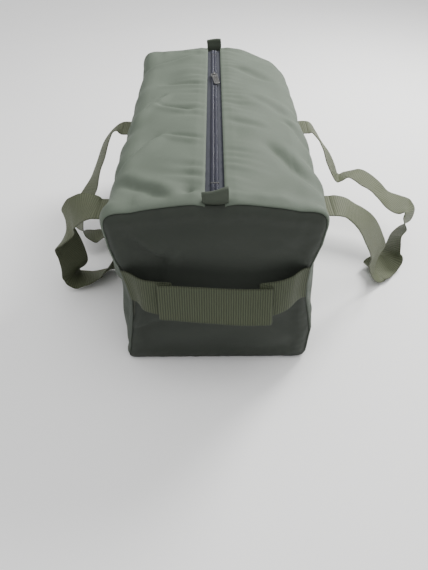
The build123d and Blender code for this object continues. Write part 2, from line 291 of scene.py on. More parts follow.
# painted shade: the end handles use the webbing made darker, with darker grooves, standing in for the shade
# at the ends
END_WEBBING_PAINTED_SHADE = webbing_mat("end_webbing_ribs_painted_shade", (.062, .074, .040), gap=.30)
TAPE = tape_mat("zip_tape_knit", (.011, .014, .026))
COIL = nylon_mat("zip_coil_nylon", (.036, .038, .060))
METAL = metal_mat("dark_metal", (.16, .16, .155))
TAB = cloth_mat("tab_weave", (.056, .068, .050), .18)
METAL_DULL = metal_mat("dull_metal", (.035, .035, .036), .42)
THREAD = thread_mat("thread_green", (.19, .205, .155))
BOARD = nylon_mat("board_plastic", (.03, .03, .03), .5)


# ---- meshes ---------------------------------------------------------------------------------------
def new_mesh(name, verts, faces, material, uvs=None, smooth=True):
    me = bpy.data.meshes.new(name)
    me.from_pydata([tuple(v) for v in np.asarray(verts, float)], [], faces)
    me.materials.append(material)
    if uvs is not None:
        layer = me.uv_layers.new(name="UVMap")
        idx = np.zeros(len(me.loops), np.int32)
        me.loops.foreach_get("vertex_index", idx)
        layer.data.foreach_set("uv", np.asarray(uvs, np.float32)[idx].ravel())
    me.polygons.foreach_set("use_smooth", [smooth] * len(me.polygons))
    me.validate()
    me.update()
    o = bpy.data.objects.new(name, me)
    bpy.context.scene.collection.objects.link(o)
    return o


def unit(v):
    return v / np.maximum(np.linalg.norm(v, axis=-1, keepdims=True), 1e-12)


def grid_normals(g):
    """Unit normals of a grid of points, first axis crossed with second."""
    a = np.gradient(g, axis=0)
    b = np.gradient(g, axis=1)
    return unit(np.cross(a, b))


def quads(nu, nv, start=0, flip=False):
    i, j = np.meshgrid(np.arange(nu - 1), np.arange(nv - 1), indexing="ij")
    a = start + i * nv + j
    f = np.stack([a, a + nv, a + nv + 1, a + 1], -1).reshape(-1, 4)
    return f[:, ::-1] if flip else f


def thick_sheet(name, g, t, material, uv, outward=1):
    """A closed thin sheet: the grid is its outer face, and the inner face lies t behind it."""
    nu, nv = g.shape[:2]
    n = grid_normals(g) * outward
    inner = g - n * t
    verts = np.concatenate([g.reshape(-1, 3), inner.reshape(-1, 3)])
    k = nu * nv
    faces = [quads(nu, nv, 0, outward < 0), quads(nu, nv, k, outward > 0)]
    rim = [i * nv for i in range(nu)] + [(nu - 1) * nv + j for j in range(1, nv)]
    rim += [i * nv + nv - 1 for i in range(nu - 2, -1, -1)] + list(range(nv - 2, 0, -1))
    rim = np.array(rim)
    nxt = np.roll(rim, -1)
    side = np.stack([rim, nxt, nxt + k, rim + k], -1)
    faces.append(side[:, ::-1] if outward > 0 else side)
    uvs = np.concatenate([uv.reshape(-1, 2)] * 2)
    return new_mesh(name, verts, np.concatenate(faces).tolist(), material, uvs)


def tubes(name, paths, radius, material, sides=6, flat=1.0):
    """Many short closed tubes in one mesh. paths: list of (points, up direction)."""
    verts, faces = [], []
    for pts, up in paths:
        pts = np.asarray(pts, float)
        d = unit(np.gradient(pts, axis=0))
        side = unit(np.cross(d, np.asarray(up, float)))
        top = np.cross(side, d)
        start, n = len(verts), len(pts)
        for i in range(n):
            r = radius * (.72 if i in (0, n - 1) else 1.0)
            for k in range(sides):
                a = 2 * pi * k / sides
                verts.append(pts[i] + side[i] * cos(a) * r + top[i] * sin(a) * r * flat)
        for i in range(n - 1):
            for k in range(sides):
                a, b = start + i * sides + k, start + i * sides + (k + 1) % sides
                faces.append((a, b, b + sides, a + sides))
        faces.append(tuple(start + k for k in range(sides))[::-1])
        faces.append(tuple(start + (n - 1) * sides + k for k in range(sides)))
    return new_mesh(name, verts, faces, material)


def stitches(line, normals, pitch=.0036, length=.0028, lift=.00015, sink=.0004):
    """Thread paths for one row of stitches along a line of points lying on cloth."""
    line, normals = np.asarray(line, float), np.asarray(normals, float)
    s = np.concatenate([[0], np.cumsum(np.linalg.norm(np.diff(line, axis=0), axis=1))])
    paths = []
    for at in np.arange(pitch / 2, s[-1] - length, pitch):
        q = at + np.array([0, .12, .5, .88, 1]) * length
        p = np.stack([np.interp(q, s, line[:, k]) for k in range(3)], -1)
        n = unit(np.stack([np.interp(q, s, normals[:, k]) for k in range(3)], -1))
        p = p + n * np.array([-sink, 0, lift, 0, -sink])[:, None]
        paths.append((p, n[2]))
    return paths


def spline(points, n_per=6):
    """Catmull-Rom curve through given stations, n_per points on each span."""
    p = np.asarray(points, float)
    ext = np.concatenate([[2 * p[0] - p[1]], p, [2 * p[-1] - p[-2]]])
    line = []
    for i in range(1, len(ext) - 2):
        a, b, c, d = ext[i - 1], ext[i], ext[i + 1], ext[i + 2]
        for t in np.arange(n_per) / n_per:
            line.append(.5 * ((2 * b) + (c - a) * t + (2 * a - 5 * b + 4 * c - d) * t ** 2
                              + (3 * b - a - 3 * c + d) * t ** 3))
    line.append(p[-1])
    return np.array(line)


def ease(x):
    x = np.clip(x, 0, 1)
    return x * x * (3 - 2 * x)


def bell(x, w):
    return np.exp(-(x / w) ** 2)


def crease(px, py, a, b, width, depth, ends=.35):
    """Height of a fold along a-b: a soft ridge on one side and a sharper valley on the other."""
    a, b = np.array(a, float), np.array(b, float)
    d = b - a
    length = np.hypot(*d)
    d = d / length
    t = ((px - a[0]) * d[0] + (py - a[1]) * d[1]) / length
    s = (px - a[0]) * -d[1] + (py - a[1]) * d[0]
    fade = ease(t / ends + .25) * ease((1 - t) / ends + .25)
    return depth * fade * (bell(s - width * .75, width * .8) * .8 - bell(s + width * .1, width * .55))


def waves(px, py, size, seed, n=14):
    """Smooth low bumps, the same each run."""
    r = np.random.default_rng(seed)
    h = np.zeros_like(px)
    for _ in range(n):
        a = r.uniform(0, 2 * pi)
        k = 2 * pi / (size * r.uniform(.6, 1.7))
        h += np.sin(k * (px * cos(a) + py * sin(a)) + r.uniform(0, 2 * pi))
    return h / np.sqrt(n)


# ---- the bag's skin ---------------------------------------------------------------------------------
SLOPE = (CROWN_Z - SHOULDER_Z) / (HALF_W - SHOULDER_R - CROWN_HALF)
TOP_RUN = HALF_W - SHOULDER_R - ZIP_HALF
ARC_RUN = SHOULDER_R * radians(84)
WALL_RUN = SHOULDER_Z - SHOULDER_R - (TRAY_Z - .004)
SIDE_RUN = TOP_RUN + ARC_RUN + WALL_RUN


def profile(u):
    """Outer section from the zip edge (u 0) over the shoulder and down the wall: x and z."""
    u = np.asarray(u, float)
    x1 = ZIP_HALF + u
    z1 = np.where(x1 < CROWN_HALF, CROWN_Z, CROWN_Z - (x1 - CROWN_HALF) * SLOPE)
    a = np.clip((u - TOP_RUN) / ARC_RUN, 0, 1) * radians(84) + radians(6)
    ang = pi / 2 - a
    x2 = HALF_W - SHOULDER_R + SHOULDER_R * np.cos(ang)
    z2 = SHOULDER_Z - SHOULDER_R + SHOULDER_R * np.sin(ang)
    z3 = SHOULDER_Z - SHOULDER_R - (u - TOP_RUN - ARC_RUN)
    on_top, on_wall = u < TOP_RUN, u > TOP_RUN + ARC_RUN
    x = np.where(on_top, x1, np.where(on_wall, HALF_W, x2))
    z = np.where(on_top, z1, np.where(on_wall, z3, z2))
    return x, z


# How far each side wall caves in behind the front seam, at the heights CAVE_Z.
CAVE_Z = (0, .02, .06, .09, .12, .15, .175, .19, .21, .26, .28)
CAVE_IN = {-1: (-.002, .004, .011, .016, .019, .0155, .011, .007, .003, 0, 0),
           1: (0, -.001, -.002, .004, .011, .0135, .0125, .009, .004, 0, 0)}
# Folds of the top on each side: from (x, y), to (x, y), width and depth.
TOP_FOLDS = {
    -1: [((-.075, .045), (-.128, -.045), .010, .0072), ((-.072, -.080), (-.130, -.165), .014, .0066),
         ((-.120, -.185), (-.048, -.243), .015, .0046), ((-.02, .214), (-.118, .186), .013, .0064),
         ((-.016, .075), (-.088, .100), .015, .0036), ((-.030, -.02), (-.090, .010), .010, .0034),
         ((-.014, -.11), (-.070, -.085), .009, .0030)],
    1: [((.066, -.110), (.126, -.215), .017, .0056), ((.030, .150), (.100, .110), .018, .0034),
        ((.050, .03), (.122, -.02), .018, .0034), ((.018, -.05), (.072, -.075), .016, .0026),
        ((.10, -.03), (.128, -.10), .010, .0040)]}
# One small dent near the front seam on each side: x, y, its two widths and depth.
TOP_DENT = {-1: (-.030, -.229, .009, .007, .0060), 1: (.052, -.225, .02, .012, .0034)}
# Folds of the walls: from (y, z), to (y, z), and depth.
WALL_FOLDS = [((-.19, .04), (-.07, .19), .0030), ((.06, .05), (-.03, .17), .0038),
              ((.20, .04), (.13, .20), .0030), ((-.09, .08), (-.02, .02), .0038)]


def sag(side, x, y, z):
    """Slow changes of the whole shape: sags, bulges and caved corners. Returns dx (outward) and dz."""
    dx, dz = np.zeros_like(x), np.zeros_like(x)
    end_f, end_r = ease(1 - (y + HALF_L) / .05), ease(1 - (HALF_L - y) / .07)
    mid = np.sin(pi * np.clip((y + HALF_L) / (2 * HALF_L), 0, 1))
    wall = ease(x / HALF_W * 3 - 1.9)
    near = ease(1 - (y + HALF_L) / .040)
    dx -= np.interp(z, CAVE_Z, CAVE_IN[side]) * near * wall
    dx -= .009 * bell(z - .13, .07) * end_r * wall
    over, out = z - (SHOULDER_Z - SHOULDER_R), x - (HALF_W - SHOULDER_R)
    theta = np.arctan2(np.maximum(over, 0), np.maximum(out, 0) + 1e-9)
    corner = np.sin(2 * theta) ** 1.5 * (over > 0) * (out > 0)
    rear = (side < 0) * ease(1 - (HALF_L - y) / .08)
    sharp = .0046 * corner * np.maximum(ease(1 - (y + HALF_L) / .07), rear)
    dx += sharp
    dz += sharp
    dx += (.003 + .0005 * side) * mid * bell(z - .13, .06) * wall
    dx += (.0035 if side > 0 else .001) * bell(y + .15, .030) * bell(z - .20, .06) * wall
    dz += .003 * mid * ease(x / .06) * ease((HALF_W - x) / .05)
    if side > 0:
        dz -= .022 * ease((x - .04) / .09) * ease(1 - (HALF_L - y) / .10) * ease((z - .15) / .10)
        dz -= .004 * ease((x - .05) / .06) * bell(y - .08, .09) * ease((z - .2) / .06)
    else:
        dz += .003 * ease((x - .05) / .05) * end_r * ease((z - .2) / .06)
        dz -= .003 * bell(x - .075, .03) * bell(y - .1, .06)
    dz -= .0045 * bell(x, .022) * ease(1 - (y + HALF_L) / .020) * ease((z - .2) / .05)
    dz -= .0025 * bell(x, .03) * ease(1 - (HALF_L - y) / .02) * ease((z - .2) / .05)
    dz -= .003 * ease((x - .07) / .05) * end_f * ease((z - .2) / .05)
    return dx, dz


def folds(side, x, y, z, u):
    """Creases and puckers, as a height along the cloth's outward normal. x is signed here."""
    h = np.zeros_like(x)
    top = ease((z - .215) / .03)
    for a, b, width, depth in TOP_FOLDS[side]:
        h += crease(x, y, a, b, width, depth) * top
    dent_x, dent_y, wide, long, depth = TOP_DENT[side]
    h -= depth * np.exp(-((x - dent_x) / wide) ** 2 - ((y - dent_y) / long) ** 2)
    # puckers along the zip's topstitching, then low waves over the top and the wall
    d = np.abs(x) - ZIP_HALF
    pucker = waves(y + d * .25 * side, np.full_like(y, side), .016, 5 + side, 9)
    fade = bell(d - .013, .014) + .35 * bell(d - .035, .02)
    h += .00120 * pucker * fade * top * (.6 + .4 * waves(y, np.zeros_like(y), .12, 9, 5))
    h += .0016 * waves(x, y, .070, 21 + side, 12) * top * ease(d / .03)
    wall = ease((.215 - z) / .04)
    h += .0024 * waves(y, z, .12, 31 + side, 12) * wall * ease((z - .012) / .05)
    for a, b, depth in WALL_FOLDS:
        h += crease(y, z, a, b, .013, depth) * wall
    for leg_y in (-LEG_Y, LEG_Y):
        h -= .0022 * bell(y - leg_y, .035) * bell(z - .165, .03) * wall
    # ripples beside the end seams; at the seam itself the cloth lies on its plain outline
    near_seam = np.minimum(y + HALF_L, HALF_L - y)
    h += .0010 * waves(u, near_seam * .2, .022, 41 + side, 9) * bell(near_seam - .012, .014)
    return h * ease((near_seam - .003) / .013)


def skin(side, u, y):
    """Points of a side's outer face for arrays u (from the zip edge) and y."""
    x, z = profile(u)
    dx, dz = sag(side, x, y, z)
    px = side * (x + dx)
    g = np.stack([px, y, z + dz], -1)
    n = grid_normals(g)
    up = n[..., 2] * .3 + n[..., 0] * side
    n = n * np.where(up < 0, -1, 1)[..., None]
    g = g + n * folds(side, px, y, z, u)[..., None]
    e = np.minimum(y + HALF_L, HALF_L - y)
    q = np.clip(1 - e / .0072, 0, 1)
    g = g - n * (.0040 * (1 - np.sqrt(1 - q * q)) - .0012 * bell(e - .012, .008))[..., None]
    lip = ease(1 - u / .0022)
    g[..., 2] -= .0011 * lip
    g[..., 2] = np.maximum(g[..., 2], .0012)
    return g


Y_LINE = np.concatenate([-HALF_L + np.array([.0006, .0014, .0024, .0036, .005, .0066, .0085]),
                         np.linspace(-HALF_L + .011, HALF_L - .011, 250),
                         HALF_L - np.array([.0085, .0066, .005, .0036, .0024, .0014, .0006])])
U_LINE = np.concatenate([[0, .0007, .0015, .0025], np.linspace(.0042, SIDE_RUN, 170)])


def side_cloth(name, side):
    u, y = np.meshgrid(U_LINE, Y_LINE, indexing="ij")
    g = skin(side, u, y)
    uv = np.stack([u, y], -1)
    o = thick_sheet(f"cloth_{name}", g, .0014, SHELL, uv, outward=-side)
    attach(o, "bag")
    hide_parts(f"panel_{name}")
    return o, g, grid_normals(g) * -side


# ---- camera, light and floor ------------------------------------------------------------------------
def camera():
    cam = bpy.data.objects.new("camera", bpy.data.cameras.new("camera"))
    bpy.context.scene.collection.objects.link(cam)
    pitch, yaw, roll = radians(44.0), radians(-.39), radians(-.74)
    fwd = Vector((sin(yaw) * cos(pitch), cos(yaw) * cos(pitch), -sin(pitch)))
    right = Vector((cos(yaw), -sin(yaw), 0))
    up = right.cross(fwd)
    rolled_right = right * cos(roll) + up * sin(roll)
    rolled_up = up * cos(roll) - right * sin(roll)
    m = Matrix((rolled_right, rolled_up, -fwd)).transposed().to_4x4()
    m.translation = (.0008, -.683, .561)
    cam.matrix_world = m
    cam.data.sensor_width, cam.data.lens = 36, 29.62
    cam.data.clip_start = .01
    bpy.context.scene.camera = cam


def area(name, place, aim, size, power, colour=(1, 1, 1)):
    light = bpy.data.lights.new(name, "AREA")
    light.shape, light.size, light.energy, light.color = "DISK", size, power, colour
    o = bpy.data.objects.new(name, light)
    bpy.context.scene.collection.objects.link(o)
    o.location = place
    o.rotation_euler = (Vector(aim) - Vector(place)).to_track_quat("-Z", "Y").to_euler()


def studio():
    world = bpy.data.worlds.new("studio")
    bpy.context.scene.world = world
    world.use_nodes = True
    tree = world.node_tree
    bg = tree.nodes["Background"]
    way = tree.nodes.new("ShaderNodeTexCoord").outputs["Generated"]
    split = tree.nodes.new("ShaderNodeSeparateXYZ")
    ramp = tree.nodes.new("ShaderNodeValToRGB")
    tree.links.new(way, split.inputs[0])
    tree.links.new(split.outputs[2], ramp.inputs[0])
    tree.links.new(ramp.outputs[0], bg.inputs[0])
    ramp.color_ramp.elements[0].color = (.20, .20, .21, 1)
    ramp.color_ramp.elements[1].color = (1, 1, 1, 1)
    ramp.color_ramp.elements[1].position = .85
    bg.inputs[1].default_value = 1.15
    area("key", (.85, .75, 1.15), (0, 0, .15), .55, 30, (1, .995, .97))
    area("over", (.3, -.3, 1.9), (.1, -.1, .1), 1.2, 12, (1, 1, .98))
    m = Nodes("floor_pale")
    v = m.coords(which="Object")
    tone = m.ramp(m.noise(v, 3, 2), [(.3, (.93, .93, .93)), (.7, (.95, .95, .95))])
    m.finish(tone, .8, None)
    ring = [(6 * cos(2 * pi * i / 96), 6 * sin(2 * pi * i / 96), -.0002) for i in range(96)]
    floor = new_mesh("floor", ring, [tuple(range(96))], m.mat, smooth=False)


# ---- end panels ---------------------------------------------------------------------------------------
def section_loop(end, xs, zs):
    """Moves outline points by the same sag as the side cloth at this end."""
    y = np.full_like(xs, end * (HALF_L - .004))
    pts = np.zeros((len(xs), 3))
    for s in (-1, 1):
        k = (np.sign(xs) == s) | ((xs == 0) & (s > 0))
        dx, dz = sag(s, np.abs(xs[k]), y[k], zs[k])
        pts[k] = np.stack([s * (np.abs(xs[k]) + dx), np.full_like(dx, end * HALF_L), zs[k] + dz], -1)
    return pts


def spaced_line(n, total):
    """Positions from 0 to total, packed close at both ends where the seam rolls over."""
    near = np.array([0, .0006, .0013, .0021, .0031, .0043, .0058, .0078, .0105])
    mid = np.linspace(.0145, total - .0145, n)
    return np.concatenate([near, mid, total - near[::-1]]) / total


# Folds of an end panel: from (x, z), to (x, z), width and depth.
END_FOLDS = [((-.052, .215), (-.084, .120), .012, .0066), ((-.105, .230), (-.052, .180), .014, .0050),
             ((.118, .190), (.060, .225), .016, .0026), ((-.118, .060), (-.06, .095), .014, .0030),
             ((.110, .05), (.07, .1), .014, .0022)]
RIM_TUCK = .0009       # the rim of an end panel lies this far inside the side cloth


def end_cloth(name, end):
    """One panel from seam to seam, pillowed, with a rolled seam all round."""
    split = TOP_RUN + ARC_RUN * .5
    # top edge from the left corner to the right corner, then the right side and half the base
    xs_half, zs_half = profile(np.linspace(0, split, 40))
    top_x = np.concatenate([-xs_half[::-1], xs_half])
    top_z = np.concatenate([zs_half[::-1], zs_half])
    side_x, side_z = profile(np.linspace(split, SIDE_RUN, 60))
    a = np.radians(np.linspace(0, 45, 8))
    low_x = HALF_W - BOTTOM_R + BOTTOM_R * np.cos(a)
    low_z = BOTTOM_R - BOTTOM_R * np.sin(a)
    side_x, side_z = np.concatenate([side_x, low_x[1:]]), np.concatenate([side_z, low_z[1:]])
    b = np.radians(np.linspace(45, 90, 8))
    base_x = np.concatenate([HALF_W - BOTTOM_R + BOTTOM_R * np.cos(b), [0]])
    base_z = np.concatenate([BOTTOM_R - BOTTOM_R * np.sin(b), [0]])
    base_x = np.concatenate([-base_x, base_x[::-1][1:]])
    base_z = np.concatenate([base_z, base_z[::-1][1:]])

    def even(x, z, t):
        s = np.concatenate([[0], np.cumsum(np.hypot(np.diff(x), np.diff(z)))])
        return np.interp(t * s[-1], s, x), np.interp(t * s[-1], s, z)

    nu, nv = ((70, 72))
    tu, tv = spaced_line(nu, .24), spaced_line(nv, .25)

    def sagged(x, z):
        return section_loop(end, x, z)[:, [0, 2]]

    wall_x, wall_z = even(side_x[::-1], side_z[::-1], tv)
    top, base = sagged(*even(top_x, top_z, tu)), sagged(*even(base_x, base_z, tu))
    right, left = sagged(wall_x, wall_z), sagged(-wall_x, wall_z)
    U, V = np.meshgrid(tu, tv, indexing="ij")
    U3, V3 = U[..., None], V[..., None]
    p = ((1 - V3) * base[:, None] + V3 * top[:, None] + (1 - U3) * left[None] + U3 * right[None]
         - (1 - U3) * (1 - V3) * base[0] - U3 * (1 - V3) * base[-1]
         - (1 - U3) * V3 * top[0] - U3 * V3 * top[-1])
    tuck = 1 - RIM_TUCK / HALF_W
    x, z = p[..., 0] * tuck, (p[..., 1] - HALF_W) * tuck + HALF_W
    rim = np.concatenate([base, right, top[::-1], left[::-1]])
    d = np.full(x.shape, 1.0)
    for q, after in zip(rim, np.roll(rim, -1, axis=0)):
        e = after - q
        square = (e * e).sum()
        if square < 1e-12:
            continue
        t = np.clip(((x - q[0]) * e[0] + (z - q[1]) * e[1]) / square, 0, 1)
        d = np.minimum(d, np.hypot(x - q[0] - t * e[0], z - q[1] - t * e[1]))
    pillow = .0075 * ease(d / .09)
    # the panel rounds over into the seam, fuller along its top edge
    q = np.clip(1 - d / .0130, 0, 1)
    roll = -.0085 * (1 - np.sqrt(1 - q * q)) + .0022 * bell(d - .013, .008)
    valley = -.0005 * bell(d - .026, .010)
    low = ease((z - .004) / .02)
    off = pillow + roll * (.5 + .5 * low) + valley
    sx = x * -end if end > 0 else x
    for fold in END_FOLDS:
        off += crease(sx, z, *fold)
    off += .0018 * waves(x, z, .09, 51 + end, 12) * ease((d - .004) / .03)
    off += .0007 * waves(x, z, .02, 61 + end, 10) * bell(d - .012, .010)
    off -= .005 * bell(sx + .112, .02) * bell(z - .13, .05)
    # hollow behind the grip, so that it can tip without cutting the cloth
    behind = bell(z - .172, .034) * ease((.122 - np.abs(x)) / .024)
    off = off * (1 - .75 * behind) - .0045 * behind
    y = end * (HALF_L + .0030 + off)
    g = np.stack([x, y, np.maximum(z, .0012)], -1)
    uv = np.stack([x, z], -1)
    # the end cloth's material is the shell cloth darkened as painted shade
    o = thick_sheet(f"end_cloth_{name}", g, .0014, END_CLOTH_PAINTED_SHADE, uv, outward=-1 if end > 0 else 1)
    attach(o, "bag")
    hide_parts(f"end_panel_{name}")
    # binding over the seam allowance, inside
    keep = np.concatenate([[True], np.hypot(*np.diff(rim, axis=0).T) > 1e-5])
    ring = rim[keep]
    ring = np.concatenate([ring, ring[:1]])
    t = unit(np.gradient(ring, axis=0))
    t[0] = t[-1] = unit(ring[1] - ring[-2])
    inward = np.stack([-t[:, 1], t[:, 0]], -1)
    steps = np.array([.0026, .0050, .0075, .0102, .0132])
    q = ring[None] + inward[None] * steps[:, None, None]
    q[..., 1] = np.maximum(q[..., 1], .0060 + steps[:, None] * .2)
    ripple = .0003 * np.sin(np.arange(len(ring)) * .9)[None] * (steps / steps[-1])[:, None]
    b = np.stack([q[..., 0], end * (HALF_L - .0031 + ripple), q[..., 1]], -1)
    s = np.concatenate([[0], np.cumsum(np.hypot(*np.diff(ring, axis=0).T))])
    bu = np.stack([np.repeat(steps[:, None], len(ring), 1), np.repeat(s[None], 5, 0)], -1)
    k = thick_sheet(f"binding_{name}", b, .0016, BIND, bu, outward=1 if end < 0 else -1)
    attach(k, "bag")
    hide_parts(f"seam_binding_{name}")


def base_cloth():
    """The bottom, turned up all round the long sides, over the stiffener."""
    a = np.radians(np.linspace(0, 90, 10))
    half = HALF_W - .0012
    xs = np.concatenate([[half], half - BOTTOM_R + BOTTOM_R * np.cos(a),
                         np.linspace(HALF_W - BOTTOM_R - .004, 0, 26)])
    zs = np.concatenate([[TRAY_Z + .001], .0004 + BOTTOM_R - BOTTOM_R * np.sin(a), np.full(26, .0004)])
    xs = np.concatenate([xs, -xs[::-1][1:]])
    zs = np.concatenate([zs, zs[::-1][1:]])
    ys = np.linspace(-HALF_L + .003, HALF_L - .003, 90)
    X, Y = np.meshgrid(xs, ys, indexing="ij")
    Z = np.repeat(zs[:, None], len(ys), 1)
    lift = .0006 * (1 + waves(X, Y, .1, 71, 8)) * ease((.006 - Z) / .004)
    g = np.stack([X, Y, Z + np.clip(lift, 0, .002) * ease((HALF_W - .02 - np.abs(X)) / .03)], -1)
    s = np.concatenate([[0], np.cumsum(np.hypot(np.diff(xs), np.diff(zs)))])
    uv = np.stack([np.repeat(s[:, None], len(ys), 1), Y], -1)
    n = grid_normals(g)
    o = thick_sheet("base_cloth", g, .0014, SHELL, uv, outward=-1 if n[len(xs) // 2, 40, 2] > 0 else 1)
    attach(o, "bag")
    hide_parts("base_panel")
    return o


# ---- webbing ------------------------------------------------------------------------------------------
PER_SPAN = 5           # points on each span of a carry handle
ACROSS = np.array([-1, -.985, -.94, -.8, -.5, 0, .5, .8, .94, .985, 1]) * WEB / 2


def strap_mesh(name, g, along, material):
    """Webbing from a grid of its middle surface: a closed flat tube with rounded selvedges."""
    n = grid_normals(g)
    nu, nv = g.shape[:2]
    edge = np.abs(ACROSS) / (WEB / 2)
    half = WEB_T / 2 * np.where(edge > .99, .35, np.where(edge > .96, .85, 1.0))
    half = half * (1 + .10 * bell(edge - .93, .05))
    top = g + n * half[None, :, None]
    low = g - n * half[None, :, None]
    ring = np.concatenate([top, low[:, ::-1]], 1)
    k = ring.shape[1]
    verts = ring.reshape(-1, 3)
    i, j = np.meshgrid(np.arange(nu - 1), np.arange(k), indexing="ij")
    a, b = i * k + j, i * k + (j + 1) % k
    faces = np.stack([a, a + k, b + k, b], -1).reshape(-1, 4).tolist()
    for row, flip in ((0, False), (nu - 1, True)):
        for q in range(nv - 1):
            f = [row * k + q, row * k + q + 1, row * k + k - 2 - q, row * k + k - 1 - q]
            faces.append(f[::-1] if flip else f)
    us = np.concatenate([ACROSS + WEB / 2, (ACROSS + WEB / 2)[::-1]])
    uv = np.stack([np.tile(us, (nu, 1)), np.repeat(along[:, None], k, 1)], -1)
    return new_mesh(name, verts, faces, material, uv.reshape(-1, 2))


def along_of(g):
    mid = g[:, g.shape[1] // 2]
    return np.concatenate([[0], np.cumsum(np.linalg.norm(np.diff(mid, axis=0), axis=1))])


def leg_grid(side, y0):
    """A sewn leg on the wall, from the base up to where the webbing leaves the cloth."""
    u = np.linspace(SIDE_RUN - .006, SIDE_RUN - .006 - .135, 46)
    yy = y0 + ACROSS
    fine_y = np.linspace(y0 - .045, y0 + .045, 61)
    U, Y = np.meshgrid(u, fine_y, indexing="ij")
    s = skin(side, U, Y)
    x = np.stack([np.interp(yy, fine_y, row) for row in s[..., 0]])
    z = np.stack([np.interp(yy, fine_y, row) for row in s[..., 2]])
    y = np.repeat(yy[None], len(u), 0)
    return np.stack([x + side * (.0004 + WEB_T / 2), y, z], -1)


def carry_handle(name, side, loop):
    """Two sewn legs and the loose loop between their bends, in three pieces that meet edge to edge."""
    first, last = leg_grid(side, -LEG_Y), leg_grid(side, LEG_Y)[::-1]
    x_top = abs(first[-1, :, 0]).mean()
    bridge = [(x_top + .0012, .156), (x_top + .0050, .1655), (x_top + .0125, .1728), (.1505, .1758)]
    st = np.array(loop, float)
    st[:, :3] /= 1000
    free = np.concatenate([
        [(x, -LEG_Y, z, 0, 1, 0) for x, z in bridge],
        np.column_stack([st[:, 0] + HINGE_X, st[:, 1:]]),
        [(x, LEG_Y, z, 0, 1, 0) for x, z in bridge[::-1]]])
    pts = spline(free, PER_SPAN)
    c = pts[:, :3] * np.array([side, 1, 1])
    w = pts[:, 3:] * np.array([side, 1, 1])
    d = unit(np.gradient(c, axis=0))
    w = unit(w - d * (w * d).sum(-1, keepdims=True))
    g = c[:, None] + w[:, None] * ACROSS[None, :, None]
    n = np.cross(d, w)
    t = np.linspace(0, 1, len(g))
    cup = .0012 * np.sin(9 * pi * t) + .0008 * np.sin(23 * t)
    cup = cup * ease(t / .06) * ease((1 - t) / .06)
    g = g + n[:, None] * (cup[:, None] * ((ACROSS / (WEB / 2)) ** 2 - .35)[None])[..., None]
    g[..., 2] = np.maximum(g[..., 2], .0011 + .00002 * np.abs(ACROSS) / WEB)
    cut = len(bridge) * PER_SPAN
    parts = [("front_leg", np.concatenate([first, g[:cut + 1]])), ("loop", g[cut:len(g) - cut]),
             ("rear_leg", np.concatenate([g[len(g) - cut - 1:], last]))]
    body, at, made = f"{name}_handle", 0.0, []
    for part, p in parts:
        run = along_of(p)
        o = strap_mesh(f"carry_webbing_{name}_{part}", p, at + run, WEBBING)
        at += run[-1]
        if part == "loop":
            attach(o, body)
            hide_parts(f"carry_handle_{name}")
        else:
            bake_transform(o)
            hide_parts(f"side_strap_{name}_{part.split('_')[0]}")
        made.append((o, float(run[-1]), part))
    threads = []
    for leg in (first, last[::-1]):
        nn = np.zeros_like(leg)
        nn[..., 0] = side
        out_face = leg + nn * (WEB_T / 2)
        for j in (2, 8):
            threads += stitches(out_face[:, j], nn[:, j])
        rows = out_face[-3], out_face[-22]
        for r in rows:
            threads += stitches(r, nn[0])
        for a, b in (((-3, 2), (-22, 8)), ((-3, 8), (-22, 2))):
            k = np.linspace(0, 1, 12)
            ii = np.round(len(leg) + a[0] + (b[0] - a[0]) * k).astype(int)
            ws = ACROSS[a[1]] + (ACROSS[b[1]] - ACROSS[a[1]]) * k
            line = [[np.interp(at_w, ACROSS, out_face[row, :, q]) for q in range(3)]
                    for row, at_w in zip(ii, ws)]
            threads += stitches(np.array(line), np.repeat(nn[:1, 0], 12, 0))
        threads += stitches(out_face[1], nn[0])
    s = tubes(f"leg_stitching_{name}", threads, .00032, THREAD, 5)
    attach(s, "bag")


